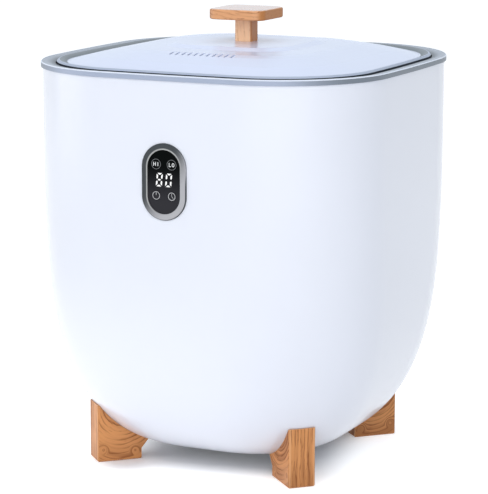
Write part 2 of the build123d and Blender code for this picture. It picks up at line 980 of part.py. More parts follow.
def lid_ring():
    """Grey ring with a raised, bevelled crest, which carries the cover's foot and the seal."""
    outer = lid_ring_half()
    cover_half = lid_cover_half()
    crest_half = outer - lid_crest_bevel
    ring = levels([
        (outer, leg_bottom()),
        (outer, lid_ring_edge()),
        (crest_half, lid_crest()),
    ])
    ring -= levels([
        (cover_half, lid_skirt_low()),
        (crest_half - lid_crest_width, lid_crest()),
    ])
    ring -= prism(outer - lid_leg_width, leg_bottom(), plate_top())
    ring -= prism(cover_half - ring_shelf, plate_top(), cover_seat())
    return ring - prism(cover_half, cover_seat(), lid_skirt_low())


def lid_seal():
    """Silicone seal under the ring, resting on the rim's ledge."""
    outer = lid_ring_half()
    return prism(outer, ledge_top, leg_bottom()) - prism(outer - seal_width, ledge_top, leg_bottom())


def plate_top():
    return cover_seat() - ring_shelf_thickness


def dish_floor_top():
    return plate_top() - dish_depth


def lid_inner_plate():
    """Dished plate that closes the lid from below."""
    outer = lid_ring_half() - lid_leg_width - plate_fit
    dish_top = outer - plate_flange_width
    dish_low = dish_top - dish_slope
    plate_low = plate_top() - plate_thickness
    floor_low = dish_floor_top() - plate_thickness
    flange = prism(outer, plate_low, plate_top())
    bowl = levels([(dish_low, floor_low), (dish_top, plate_low)])
    hollow = levels([
        (dish_low - plate_thickness, dish_floor_top()),
        (dish_top - plate_thickness, plate_top()),
    ])
    plate = flange + bowl - hollow
    for x, y in corners(lid_boss_reach):
        plate -= post(small_screw_radius + screw_clearance, x, y, floor_low, dish_floor_top())
    return plate


def lid_screws():
    """Screws from below, through the inner plate and into the cover's bosses."""
    pattern = screw(small_screw_radius, screw_head_overlap, screw_head_height, lid_screw_length)
    turned = pattern.rotate(Axis.X, 180)
    low = dish_floor_top() - plate_thickness
    return separate([Pos(x, y, low) * turned for x, y in corners(lid_boss_reach)])


# --- Knob ---
def stem_top():
    return plateau_top() + stem_height


def knob_stem():
    """Square wooden stem with a round tenon, drilled from below for the screw."""
    face = Pos(0, 0, plateau_top()) * RectangleRounded(stem_size, stem_size, stem_corner)
    stem = extrude(face, stem_height, dir=vertical)
    stem += post(tenon_radius, 0, 0, stem_top(), stem_top() + tenon_length)
    return stem - post(large_screw_radius, 0, 0, plateau_top(), plateau_top() + knob_screw_bite)


def knob_top():
    """Square wooden slab with rounded corners and eased edges, socketed for the tenon."""
    face = Pos(0, 0, stem_top()) * RectangleRounded(knob_size, knob_size, knob_corner)
    slab = extrude(face, knob_thickness, dir=vertical)
    rims = slab.edges().group_by(Axis.Z)
    slab = fillet(rims[0] + rims[-1], knob_edge_radius)
    return slab - post(tenon_radius, 0, 0, stem_top(), stem_top() + tenon_length)


def knob_boss_low():
    return plateau_top() - lid_wall - knob_boss_height


def knob_washer():
    low = knob_boss_low() - knob_washer_thickness
    washer = post(knob_washer_radius, 0, 0, low, knob_boss_low())
    return washer - post(large_screw_radius + screw_clearance, 0, 0, low, knob_boss_low())


def knob_screw():
    low = knob_boss_low() - knob_washer_thickness
    length = plateau_top() + knob_screw_bite - low
    pattern = screw(large_screw_radius, screw_head_overlap, screw_head_height, length)
    return Pos(0, 0, low) * pattern.rotate(Axis.X, 180)


# --- The whole bucket ---
pieces = {
    "outer_shell": outer_shell(),
    "rim_trim": rim_trim(),
    "inner_pot": inner_pot(),
    "pot_gasket": pot_gasket(),
    "heater_band": heater_band(),
    "insulation_wrap": insulation_wrap(),
    "base_heater": base_heater(),
    "thermal_cutoff": thermal_cutoff(),
    "temperature_sensor": temperature_sensor(),
    "sensor_clip": sensor_clip(),
    "foot_front_left": foot(-1, -1),
    "foot_front_right": foot(1, -1),
    "foot_back_left": foot(-1, 1),
    "foot_back_right": foot(1, 1),
    "foot_screws": foot_screws(),
    "base_cover": base_cover(),
    "base_screws": base_screws(),
    "power_board": power_board(),
    "board_screws": board_screws(),
    "relay": relay(),
    "terminal_block": terminal_block(),
    "filter_capacitor": filter_capacitor(),
    "cord_gland": cord_gland(),
    "gland_nut": gland_nut(),
    "panel_bezel": panel_bezel(),
    "panel_lens": panel_lens(),
    "panel_housing": panel_housing(),
    "panel_screws": panel_screws(),
    "display_board": display_board(),
    "digit_display": digit_display(),
    "display_screws": display_screws(),
    "key_switches": key_switches(),
    "lid_cover": lid_cover(),
    "lid_ring": lid_ring(),
    "lid_seal": lid_seal(),
    "lid_inner_plate": lid_inner_plate(),
    "lid_screws": lid_screws(),
    "knob_stem": knob_stem(),
    "knob_top": knob_top(),
    "knob_screw": knob_screw(),
    "knob_washer": knob_washer(),
}
for name, x, z, radius in key_places():
    pieces[name] = key(x, z, radius)

os.makedirs("parts", exist_ok=True)
for name, piece in pieces.items():
    export_step(piece, f"parts/{name}.step")
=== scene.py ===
import math

import bmesh
import bpy
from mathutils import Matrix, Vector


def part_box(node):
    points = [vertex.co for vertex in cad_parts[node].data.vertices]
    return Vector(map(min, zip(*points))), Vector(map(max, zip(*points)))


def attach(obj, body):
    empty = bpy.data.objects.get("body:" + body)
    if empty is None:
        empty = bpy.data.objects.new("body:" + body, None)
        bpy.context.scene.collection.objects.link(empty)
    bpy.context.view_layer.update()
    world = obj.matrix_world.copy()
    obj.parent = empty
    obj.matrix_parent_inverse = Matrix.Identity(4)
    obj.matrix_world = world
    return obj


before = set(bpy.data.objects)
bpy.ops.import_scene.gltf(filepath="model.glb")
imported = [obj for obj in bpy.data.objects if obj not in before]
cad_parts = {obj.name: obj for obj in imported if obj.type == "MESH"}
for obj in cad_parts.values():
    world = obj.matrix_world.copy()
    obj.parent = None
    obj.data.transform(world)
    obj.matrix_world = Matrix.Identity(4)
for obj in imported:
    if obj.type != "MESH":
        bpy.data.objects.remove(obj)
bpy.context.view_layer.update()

# --- Camera, pale floor and studio lamps ---
# The bucket stands on a pale seamless floor in a pale room, lit by three large
# soft lamps and a low narrow-beamed one at the feet. The camera looks slightly
# down at the front and the right side.
white = (1.0, 1.0, 1.0, 1.0)
camera_place = (0.80905, -1.71515, 0.53995)
camera_turn = (79.002, -0.116, 25.325)
camera_reach = (0.05, 100.0)
sensor = 36.0
focal_length = 167.82
body_middle = (0.0, 0.0, 0.16)
lid_middle = (0.0, 0.0, 0.34)
feet_middle = (0.02, -0.02, 0.02)
wide_beam = 180.0
narrow_beam = 16.0
room_light = 0.40
room_colour = (0.84, 0.915, 1.0, 1.0)
floor_width = 24.0
floor_colour = (0.95, 0.95, 0.95, 1.0)
floor_glow = 0.52
far_glow = 0.18
far_reach = (0.4, 1.5)
# Shape of the painted floor shadow: a squared band round the body and a spot by the front left
# foot, where the floor's glow is held back.
shadow_front = (0.196, -0.98, 0.0)
shadow_right = (0.98, 0.196, 0.0)
shadow_reach = (0.062, 0.106)
shadow_corner_power = 6.0
foot_shadow_place = (-0.066, -0.092, 0.0)
foot_shadow_reach = (0.008, 0.034)


def add(tree, kind, sockets=None, **settings):
    """New node with its settings, and its sockets linked or set."""
    made = tree.nodes.new(kind)
    for name, value in settings.items():
        setattr(made, name, value)
    for name, value in (sockets or {}).items():
        if isinstance(value, bpy.types.NodeSocket):
            tree.links.new(value, made.inputs[name])
        else:
            made.inputs[name].default_value = value
    return made


def calc(tree, operation, first, second=0.0, third=0.0):
    """Result of one Math node."""
    sockets = {0: first, 1: second, 2: third}
    return add(tree, "ShaderNodeMath", sockets, operation=operation).outputs[0]


def product(tree, first, *others):
    """Values multiplied together."""
    for other in others:
        first = calc(tree, "MULTIPLY", first, other)
    return first


def ease(tree, value, low, high):
    """0 below low, 1 above high, and smooth between them."""
    sockets = {"Value": value, "From Min": low, "From Max": high}
    return add(tree, "ShaderNodeMapRange", sockets, interpolation_type="SMOOTHSTEP").outputs[0]


def vector_node(tree, operation, *vectors):
    """Outputs of one Vector Math node: Vector, or Value for a length or a dot product."""
    return add(tree, "ShaderNodeVectorMath", dict(enumerate(vectors)), operation=operation).outputs


def spot_on(tree, kind="Object"):
    """Place of a point of the surface, or with "Normal" the way that it faces."""
    return add(tree, "ShaderNodeTexCoord").outputs[kind]


def mix_colour(tree, amount, first, second, mode="MIX"):
    """Result of one colour Mix node."""
    sockets = {0: amount, 6: first, 7: second}
    return add(tree, "ShaderNodeMix", sockets, data_type="RGBA", blend_type=mode).outputs[2]


def seen_rays(tree):
    """1 for camera, mirror and glass rays, and 0 for light that falls on a surface."""
    path = add(tree, "ShaderNodeLightPath")
    seen = calc(tree, "MAXIMUM", path.outputs["Is Camera Ray"], path.outputs["Is Glossy Ray"])
    return calc(tree, "MAXIMUM", seen, path.outputs["Is Transmission Ray"])


camera = bpy.data.objects.new("camera", bpy.data.cameras.new("camera"))
bpy.context.scene.collection.objects.link(camera)
camera.location = camera_place
camera.rotation_euler = tuple(map(math.radians, camera_turn))
camera.data.sensor_width = sensor
camera.data.lens = focal_length
camera.data.clip_start, camera.data.clip_end = camera_reach
bpy.context.scene.camera = camera
bpy.context.scene.view_settings.view_transform = "Standard"

world = bpy.data.worlds.new("studio")
bpy.context.scene.world = world
world.use_nodes = True
tree = world.node_tree
backdrop = tree.nodes["Background"]
seen_directly = add(tree, "ShaderNodeLightPath").outputs["Is Camera Ray"]
tree.links.new(mix_colour(tree, seen_directly, room_colour, white), backdrop.inputs["Color"])
strength = calc(tree, "MULTIPLY_ADD", seen_rays(tree), 1.0 - room_light, room_light)
tree.links.new(strength, backdrop.inputs["Strength"])


def softbox(name, place, aim, size, power, beam=wide_beam):
    """Rectangular area lamp that points at a place, with its beam's angle in degrees."""
    lamp = bpy.data.lights.new(name, "AREA")
    lamp.shape = "RECTANGLE"
    lamp.size, lamp.size_y = size
    lamp.energy = power
    lamp.spread = math.radians(beam)
    holder = bpy.data.objects.new(name, lamp)
    holder.location = place
    direction = holder.location.copy()
    direction.x, direction.y, direction.z = (aim[i] - place[i] for i in range(3))
    holder.rotation_euler = direction.to_track_quat("-Z", "Y").to_euler()
    holder.visible_camera = False
    bpy.context.scene.collection.objects.link(holder)


softbox("key_lamp", (1.0, -2.1, 1.25), body_middle, (3.0, 2.4), 40.0)
softbox("left_lamp", (-2.1, -0.8, 0.8), body_middle, (1.6, 1.6), 12.0)
softbox("top_lamp", (0.0, 0.3, 1.95), lid_middle, (1.5, 1.5), 8.8)
softbox("foot_lamp", (-0.95, -0.95, 0.10), feet_middle, (0.30, 0.06), 0.045, narrow_beam)

bpy.ops.mesh.primitive_plane_add(size=floor_width)
floor = bpy.context.object
floor.name = "floor"
floor_material = bpy.data.materials.new("pale floor")
floor_material.use_nodes = True
tree = floor_material.node_tree
floor_shader = tree.nodes["Principled BSDF"]
floor_shader.inputs["Base Color"].default_value = floor_colour
floor_shader.inputs["Roughness"].default_value = 0.9
floor_shader.inputs["Specular IOR Level"].default_value = 0.1
floor_shader.inputs["Emission Color"].default_value = white
floor_place = spot_on(tree)
# The floor glows white everywhere but in the painted shadow round the body and by the front left
# foot.
powers = []
for direction in (shadow_front, shadow_right):
    along = vector_node(tree, "DOT_PRODUCT", floor_place, direction)["Value"]
    powers.append(calc(tree, "POWER", calc(tree, "ABSOLUTE", along), shadow_corner_power))
squared_reach = calc(tree, "POWER", calc(tree, "ADD", *powers), 1.0 / shadow_corner_power)
from_foot = vector_node(tree, "SUBTRACT", floor_place, foot_shadow_place)["Vector"]
foot_distance = vector_node(tree, "LENGTH", from_foot)["Value"]
distance = vector_node(tree, "LENGTH", floor_place)["Value"]
glow_outside_painted_shadow = ease(tree, squared_reach, *shadow_reach)
glow_outside_painted_shadow = product(tree, glow_outside_painted_shadow, ease(tree, foot_distance, *foot_shadow_reach))
strength = calc(tree, "MULTIPLY_ADD", ease(tree, distance, *far_reach), far_glow, floor_glow)
glow = product(tree, seen_rays(tree), product(tree, glow_outside_painted_shadow, strength))
tree.links.new(glow, floor_shader.inputs["Emission Strength"])
floor.data.materials.append(floor_material)

# --- Outer shell ---
# One injection moulding in glossy white ABS, with a faint moulded texture and
# slow waves of sink in the big walls. The other plastics share its finish.
shell_white = (0.795, 0.815, 0.895, 1.0)
shell_edge = 0.0004


def noise(tree, place, scale, detail=2.0):
    """Value of one noise texture."""
    sockets = {"Vector": place, "Scale": scale, "Detail": detail}
    return add(tree, "ShaderNodeTexNoise", sockets).outputs[0]


def start_group(name, inputs, outputs):
    """Empty shader group with named sockets: its tree, its inputs and its output node."""
    tree = bpy.data.node_groups.new(name, "ShaderNodeTree")
    for label, kind, value in inputs:
        tree.interface.new_socket(label, in_out="INPUT", socket_type=kind).default_value = value
    for label, kind in outputs:
        tree.interface.new_socket(label, in_out="OUTPUT", socket_type=kind)
    return tree, tree.nodes.new("NodeGroupInput").outputs, tree.nodes.new("NodeGroupOutput")


def end_group(tree, exits, values):
    """Links each value to the group's output of that name."""
    for label, value in values.items():
        tree.links.new(value, exits.inputs[label])


colour_socket = "NodeSocketColor"
number_socket = "NodeSocketFloat"
vector_socket = "NodeSocketVector"
skin_outputs = [
    ("Base Color", colour_socket), ("Roughness", number_socket), ("Height", number_socket),
]

moulded_skin, entry, exits = start_group("moulded skin", [
    ("Colour", colour_socket, (0.8, 0.8, 0.8, 1.0)),
    ("Mottle", number_socket, 0.03),
    ("Patch Scale", number_socket, 14.0),
    ("Grain Scale", number_socket, 2600.0),
    ("Shine", number_socket, 0.3),
    ("Shine Spread", number_socket, 0.08),
], skin_outputs)
place = spot_on(moulded_skin)
patch = noise(moulded_skin, place, entry["Patch Scale"])
grain = noise(moulded_skin, place, entry["Grain Scale"], 3.0)
swing = calc(moulded_skin, "SUBTRACT", patch, 0.5)
shade = calc(moulded_skin, "MULTIPLY_ADD", swing, entry["Mottle"], 1.0)
tint = add(moulded_skin, "ShaderNodeCombineColor", {0: shade, 1: shade, 2: shade}).outputs[0]
end_group(moulded_skin, exits, {
    "Base Color": mix_colour(moulded_skin, 1.0, entry["Colour"], tint, "MULTIPLY"),
    "Roughness": calc(moulded_skin, "MULTIPLY_ADD", swing, entry["Shine Spread"], entry["Shine"]),
    "Height": grain,
})


def finish(name, group, values, shader, bump=0.1, depth=0.0001, edge=0.0):
    """Material with a Principled shader fed by a group, with a bump and softened edges."""
    material = bpy.data.materials.new(name)
    material.use_nodes = True
    tree = material.node_tree
    principled = tree.nodes["Principled BSDF"]
    for socket, value in shader.items():
        principled.inputs[socket].default_value = value
    skin = add(tree, "ShaderNodeGroup", values, node_tree=group)
    for output in skin.outputs:
        if output.name in principled.inputs:
            tree.links.new(output, principled.inputs[output.name])
    sockets = {"Strength": bump, "Distance": depth, "Height": skin.outputs["Height"]}
    if edge > 0.0:
        sockets["Normal"] = add(tree, "ShaderNodeBevel", {"Radius": edge}, samples=4).outputs[0]
    tree.links.new(add(tree, "ShaderNodeBump", sockets).outputs[0], principled.inputs["Normal"])
    return material


def overlay(material, mask, colour):
    """Blends a colour over a material's base colour where the mask is 1."""
    tree = material.node_tree
    socket = tree.nodes["Principled BSDF"].inputs["Base Color"]
    tree.links.new(mix_colour(tree, mask, socket.links[0].from_socket, colour), socket)


def dress(material, *names):
    """Puts a material in every slot of these CAD nodes."""
    for name in names:
        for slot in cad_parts[name].material_slots:
            slot.material = material


white_plastic = finish(
    "white shell plastic", moulded_skin,
    {"Colour": shell_white, "Mottle": 0.025, "Shine": 0.3, "Shine Spread": 0.08},
    {"Coat Weight": 0.6, "Coat Roughness": 0.14}, bump=0.05, edge=shell_edge,
)
dress(white_plastic, "outer_shell")

# --- Rim trim ---
# Separate satin grey moulding that snaps over the shell's top edge, with painted
# shade on its sides and its inward-falling top, and a painted highlight on its arris.
trim_wall = (0.375, 0.425, 0.545, 1.0)
trim_side_painted_shade = (0.18, 0.21, 0.25, 1.0)
trim_top_outer = (0.40, 0.44, 0.50, 1.0)
trim_top_inner_painted_shade = (0.06, 0.072, 0.085, 1.0)
trim_painted_highlight = (0.80, 0.85, 0.95, 1.0)
trim_fall = (0.3300, 0.3318)
trim_side_turn = (0.35, 0.9)
trim_top_tilt = (0.55, 0.8)
trim_arris_tilt = ((0.15, 0.4), (0.93, 0.8))


def axes(tree, vector):
    """X, Y and Z of a vector."""
    return add(tree, "ShaderNodeSeparateXYZ", {0: vector}).outputs


tilt, entry, exits = start_group("face tilt", [], [
    ("Up", number_socket), ("Outward", number_socket), ("Rise", number_socket),
])
place, facing = spot_on(tilt), spot_on(tilt, "Normal")
level_place = vector_node(tilt, "MULTIPLY", place, (1.0, 1.0, 0.0))["Vector"]
away = vector_node(tilt, "NORMALIZE", level_place)["Vector"]
end_group(tilt, exits, {
    "Up": axes(tilt, facing)[2],
    "Outward": vector_node(tilt, "DOT_PRODUCT", away, facing)["Value"],
    "Rise": axes(tilt, place)[2],
})

# Mask for a painted highlight along rounded edges.
edge_highlight_group, entry, exits = start_group("painted edge highlight", [
    ("Radius", number_socket, 0.0006),
    ("Sharpness", number_socket, 6.0),
], [("Mask", number_socket)])
rounded = add(edge_highlight_group, "ShaderNodeBevel", {"Radius": entry["Radius"]}, samples=4).outputs[0]
flat = add(edge_highlight_group, "ShaderNodeNewGeometry").outputs["Normal"]
agree = vector_node(edge_highlight_group, "DOT_PRODUCT", rounded, flat)["Value"]
bend = product(edge_highlight_group, calc(edge_highlight_group, "SUBTRACT", 1.0, agree), entry["Sharpness"])
end_group(edge_highlight_group, exits, {"Mask": ease(edge_highlight_group, bend, 0.05, 0.9)})


def paint_edge_highlight(material, bright, radius, sharpness):
    """Lightens a material's base colour along its edges as a painted highlight."""
    sockets = {"Radius": radius, "Sharpness": sharpness}
    mask = add(material.node_tree, "ShaderNodeGroup", sockets, node_tree=edge_highlight_group)
    overlay(material, mask.outputs["Mask"], bright)


trim_plastic = finish(
    "satin grey trim", moulded_skin,
    {"Colour": trim_wall, "Mottle": 0.05, "Patch Scale": 30.0, "Shine": 0.38, "Shine Spread": 0.1},
    {"Specular IOR Level": 0.5}, bump=0.12, edge=0.0003,
)
tree = trim_plastic.node_tree
sides = add(tree, "ShaderNodeGroup", node_tree=tilt).outputs
# Painted shade: the faces that look left and right are darkened.
to_the_side = calc(tree, "ABSOLUTE", axes(tree, spot_on(tree, "Normal"))[0])
overlay(trim_plastic, ease(tree, to_the_side, *trim_side_turn), trim_side_painted_shade)
# Painted shade: the top darkens from its outer edge to its inner edge.
painted_top_shade = mix_colour(tree, ease(tree, sides["Rise"], *trim_fall), trim_top_inner_painted_shade, trim_top_outer)
overlay(trim_plastic, ease(tree, sides["Up"], *trim_top_tilt), painted_top_shade)
# Painted highlight: a bright line along the arris between the top and the wall.
arris = product(tree, *(ease(tree, sides["Up"], *tilts) for tilts in trim_arris_tilt))
overlay(trim_plastic, arris, trim_painted_highlight)
dress(trim_plastic, "rim_trim")

# --- Inner pot and its gasket ---
# Deep-drawn aluminium pot with faint lines round it from the draw, hung by its
# flange. A flat silicone gasket seals the flange to the rim.
pot_aluminium = (0.74, 0.75, 0.77, 1.0)
silicone_grey = (0.62, 0.65, 0.68, 1.0)

metal_skin, entry, exits = start_group("metal skin", [
    ("Colour", colour_socket, (0.7, 0.7, 0.7, 1.0)),
    ("Stretch", vector_socket, (1.0, 1.0, 1.0)),
    ("Grain Scale", number_socket, 900.0),
    ("Shine", number_socket, 0.3),
    ("Shine Spread", number_socket, 0.2),
], skin_outputs)
place = spot_on(metal_skin)
stretched = vector_node(metal_skin, "MULTIPLY", place, entry["Stretch"])["Vector"]
lines = noise(metal_skin, stretched, entry["Grain Scale"], 4.0)
stain = noise(metal_skin, place, 25.0, 3.0)
swing = calc(metal_skin, "SUBTRACT", lines, 0.5)
stained = calc(metal_skin, "MULTIPLY_ADD", stain, 0.08, 0.94)
shade = calc(metal_skin, "MULTIPLY_ADD", swing, 0.16, stained)
tint = add(metal_skin, "ShaderNodeCombineColor", {0: shade, 1: shade, 2: shade}).outputs[0]
end_group(metal_skin, exits, {
    "Base Color": mix_colour(metal_skin, 1.0, entry["Colour"], tint, "MULTIPLY"),
    "Roughness": calc(metal_skin, "MULTIPLY_ADD", swing, entry["Shine Spread"], entry["Shine"]),
    "Height": lines,
})

drawn_aluminium = finish(
    "drawn aluminium", metal_skin,
    {"Colour": pot_aluminium, "Stretch": (0.02, 0.02, 1.0), "Grain Scale": 700.0, "Shine": 0.34},
    {"Metallic": 1.0}, bump=0.15,
)
dress(drawn_aluminium, "inner_pot")
silicone = finish(
    "grey silicone", moulded_skin,
    {"Colour": silicone_grey, "Mottle": 0.06, "Grain Scale": 1800.0, "Shine": 0.6,
     "Shine Spread": 0.15},
    {"Specular IOR Level": 0.35}, bump=0.2,
)
dress(silicone, "pot_gasket")

# --- Heaters, sensors and insulation ---
# A red-brown silicone band heater is wrapped round the pot and a cast disc is
# pressed under it. Needled white felt keeps the heat in.
heater_red = (0.42, 0.11, 0.06, 1.0)
cast_grey = (0.56, 0.56, 0.57, 1.0)
steel_grey = (0.62, 0.62, 0.63, 1.0)
component_black = (0.03, 0.03, 0.034, 1.0)
felt_light = (0.78, 0.78, 0.74, 1.0)
felt_dark = (0.60, 0.60, 0.56, 1.0)

felt_skin, entry, exits = start_group("needled felt", [
    ("Light", colour_socket, felt_light),
    ("Dark", colour_socket, felt_dark),
    ("Fibre Scale", number_socket, 420.0),
], skin_outputs)
place = spot_on(felt_skin)
fibres = add(felt_skin, "ShaderNodeTexNoise", {
    "Vector": place, "Scale": entry["Fibre Scale"], "Detail": 8.0, "Distortion": 2.5,
}).outputs[0]
clumps = noise(felt_skin, place, 60.0, 3.0)
depth_mask = product(felt_skin, ease(felt_skin, fibres, 0.3, 0.7), clumps)
end_group(felt_skin, exits, {
    "Base Color": mix_colour(felt_skin, depth_mask, entry["Dark"], entry["Light"]),
    "Roughness": calc(felt_skin, "MULTIPLY_ADD", fibres, 0.1, 0.88),
    "Height": fibres,
})
white_felt = finish(
    "white felt", felt_skin, {}, {"Specular IOR Level": 0.1}, bump=0.8, depth=0.0006,
)
dress(white_felt, "insulation_wrap")
heater_rubber = finish(
    "heater silicone", moulded_skin,
    {"Colour": heater_red, "Mottle": 0.12, "Grain Scale": 1500.0, "Shine": 0.55},
    {"Specular IOR Level": 0.4}, bump=0.25,
)
dress(heater_rubber, "heater_band")
cast_aluminium = finish(
    "cast aluminium", metal_skin,
    {"Colour": cast_grey, "Grain Scale": 500.0, "Shine": 0.5},
    {"Metallic": 1.0}, bump=0.35,
)
dress(cast_aluminium, "base_heater")
plated_steel = finish(
    "plated steel", metal_skin,
    {"Colour": steel_grey, "Grain Scale": 1400.0, "Shine": 0.28},
    {"Metallic": 1.0}, bump=0.1, edge=0.0002,
)
dress(plated_steel, "sensor_clip", "temperature_sensor")
black_plastic = finish(
    "black component plastic", moulded_skin,
    {"Colour": component_black, "Mottle": 0.2, "Shine": 0.5},
    {"Specular IOR Level": 0.45}, bump=0.2, edge=0.0002,
)
dress(black_plastic, "thermal_cutoff")

# --- Feet and their screws ---
# Four blocks of oiled beech-toned wood on the diagonals, scooped to the shell
# and screwed up from inside it. The grain sweeps round on the flanks and runs
# straight up the outer faces.
wood_light = (0.66, 0.285, 0.096, 1.0)
wood_dark = (0.24, 0.070, 0.017, 1.0)
wood_arris_highlight = (0.84, 0.48, 0.25, 1.0)
wood_low_painted_shade = (0.33, 0.125, 0.035, 1.0)
ring_middle_out = 0.112
ring_middle_up = 0.052
ring_flatness = 0.8
ring_turn = 0.03
knots = ((0.1285, 0.0110), (0.1020, 0.0085))
knot_reach = 0.006
knot_push = 0.007
low_shade = 0.38
low_height = 0.026
flank_turn = (0.6, 0.9)
outer_face_turn = (0.75, 0.4)
arris_band = (0.0085, 0.0114)
painted_arris_strength = 0.55
half_root = math.sqrt(0.5)
ring_wander = 0.009

wood_grain, entry, exits = start_group("wood grain", [
    ("Place", vector_socket, (0.0, 0.0, 0.0)),
    ("Light", colour_socket, wood_light),
    ("Dark", colour_socket, wood_dark),
    ("Ring Width", number_socket, 0.004),
    ("Contrast", number_socket, 0.6),
    ("Streaks", number_socket, 0.5),
    ("Flecks", number_socket, 0.5),
], skin_outputs)


def stretched_noise(tree, place, along, across, detail):
    """Noise drawn out along the grain, which is the place's Z."""
    scaled = vector_node(tree, "MULTIPLY", place, (across, across, along))["Vector"]
    return noise(tree, scaled, 1.0, detail)


# Rings of darker late wood, which wander and fade in places.
tree = wood_grain
place = entry["Place"]
warp = calc(tree, "SUBTRACT", stretched_noise(tree, place, 24.0, 85.0, 3.0), 0.5)
wandered = calc(tree, "MULTIPLY_ADD", warp, ring_wander, axes(tree, place)[0])
ring = calc(tree, "FRACT", calc(tree, "DIVIDE", wandered, entry["Ring Width"]))
late = product(tree, ease(tree, ring, 0.45, 0.90), ease(tree, ring, 1.0, 0.92))
faded = ease(tree, stretched_noise(tree, place, 40.0, 130.0, 2.0), 0.36, 0.60)
late = product(tree, late, calc(tree, "MULTIPLY_ADD", faded, 0.85, 0.15))
# Broad streaks, fine fibre and short dark flecks along the grain.
streak = ease(tree, stretched_noise(tree, place, 9.0, 230.0, 4.0), 0.36, 0.64)
fibre = stretched_noise(tree, place, 60.0, 1500.0, 3.0)
fleck = ease(tree, stretched_noise(tree, place, 110.0, 900.0, 1.0), 0.62, 0.70)
lines = calc(tree, "MULTIPLY_ADD", late, 0.75, product(tree, streak, entry["Streaks"]))
amount = product(tree, lines, entry["Contrast"])
amount = calc(tree, "MULTIPLY_ADD", calc(tree, "SUBTRACT", fibre, 0.5), 0.3, amount)
amount = calc(tree, "MULTIPLY_ADD", fleck, entry["Flecks"], amount)
pits = calc(tree, "MULTIPLY_ADD", fleck, 0.8, product(tree, late, 0.4))
end_group(tree, exits, {
    "Base Color": mix_colour(tree, ease(tree, amount, -0.05, 1.0), entry["Light"], entry["Dark"]),
    "Roughness": calc(tree, "MULTIPLY_ADD", amount, 0.2, 0.38),
    "Height": calc(tree, "SUBTRACT", fibre, pits),
})


def grow_along(material, place):
    """Gives the wood of a material the place that its rings and grain follow."""
    tree = material.node_tree
    groups = (node for node in tree.nodes if node.type == "GROUP")
    grain = next(node for node in groups if node.node_tree == wood_grain)
    tree.links.new(place, grain.inputs["Place"])


foot_wood = finish(
    "oiled foot wood", wood_grain,
    {"Ring Width": 0.0031, "Contrast": 0.78, "Streaks": 0.66, "Flecks": 0.25},
    {"Specular IOR Level": 0.35}, bump=0.25, depth=0.0002, edge=0.0005,
)
# Every foot is read in its own terms: how far out on its diagonal, and how far
# sideways. Flanks turn away from the diagonal, and the outer face looks along it.
tree = foot_wood.node_tree
where = axes(tree, spot_on(tree))
facing = axes(tree, spot_on(tree, "Normal"))
x_side, y_side = calc(tree, "SIGN", where[0]), calc(tree, "SIGN", where[1])
x_out, y_out = product(tree, where[0], x_side), product(tree, where[1], y_side)
outward = product(tree, calc(tree, "ADD", x_out, y_out), half_root)
sideways = product(tree, calc(tree, "SUBTRACT", x_out, y_out), half_root)
x_face, y_face = product(tree, facing[0], x_side), product(tree, facing[1], y_side)
flank = calc(tree, "ABSOLUTE", product(tree, calc(tree, "SUBTRACT", x_face, y_face), half_root))


def flank_distance(out, up, flatness=1.0):
    """Run, rise and distance on a flank from a point of it."""
    run = calc(tree, "SUBTRACT", outward, out)
    rise = product(tree, calc(tree, "SUBTRACT", where[2], up), flatness)
    squares = calc(tree, "MULTIPLY_ADD", run, run, product(tree, rise, rise))
    return run, rise, calc(tree, "SQRT", squares)


# Rings round a middle on the flanks, pushed aside by two small knots.
run, rise, reach = flank_distance(ring_middle_out, ring_middle_up, ring_flatness)
for knot_out, knot_up in knots:
    knot_distance = flank_distance(knot_out, knot_up)[2]
    reach = calc(tree, "MULTIPLY_ADD", ease(tree, knot_distance, knot_reach, 0.0), knot_push, reach)
turn = product(tree, calc(tree, "ARCTAN2", rise, run), ring_turn)
seed = calc(tree, "MULTIPLY_ADD", x_side, 0.31, product(tree, y_side, 0.57))
curved = add(tree, "ShaderNodeCombineXYZ", {0: reach, 1: seed, 2: turn}).outputs[0]
seeded = calc(tree, "ADD", outward, seed)
upright = add(tree, "ShaderNodeCombineXYZ", {0: sideways, 1: seeded, 2: where[2]}).outputs[0]
sockets = {0: ease(tree, flank, *flank_turn), 4: upright, 5: curved}
grow_along(foot_wood, add(tree, "ShaderNodeMix", sockets, data_type="VECTOR").outputs[1])
# Painted shade darkens the foot near the floor; painted highlights light its upright arrises and
# edges.
overlay(foot_wood, product(tree, ease(tree, where[2], low_height, 0.0), low_shade), wood_low_painted_shade)
# Painted highlight on the outer face beside its upright arrises.
near_arris = ease(tree, calc(tree, "ABSOLUTE", sideways), *arris_band)
painted_arris_highlight = product(tree, near_arris, ease(tree, flank, *outer_face_turn))
overlay(foot_wood, product(tree, painted_arris_highlight, painted_arris_strength), wood_arris_highlight)
# Painted highlight round the foot's edges.
paint_edge_highlight(foot_wood, wood_arris_highlight, 0.0009, 5.0)
dress(foot_wood, "foot_front_left", "foot_front_right", "foot_back_left", "foot_back_right")
dress(plated_steel, "foot_screws")

# --- Base cover and its screws ---
# White moulded cover set flush in the shell's flat bottom, with vent slots
# under the power board. Four steel screws hold it.
cover_white = (0.72, 0.74, 0.76, 1.0)

inner_plastic = finish(
    "white inner plastic", moulded_skin,
    {"Colour": cover_white, "Mottle": 0.05, "Grain Scale": 1400.0, "Shine": 0.48},
    {"Specular IOR Level": 0.45}, bump=0.2, edge=0.0003,
)
dress(inner_plastic, "base_cover")
dress(plated_steel, "base_screws")

# --- Power board ---
# Green glass-epoxy board on four standoffs, with a relay, a film of copper
# tracks under the mask, a filter capacitor and a screw terminal block.
board_green = (0.03, 0.16, 0.06, 1.0)
track_green = (0.07, 0.30, 0.12, 1.0)
terminal_green = (0.03, 0.22, 0.07, 1.0)

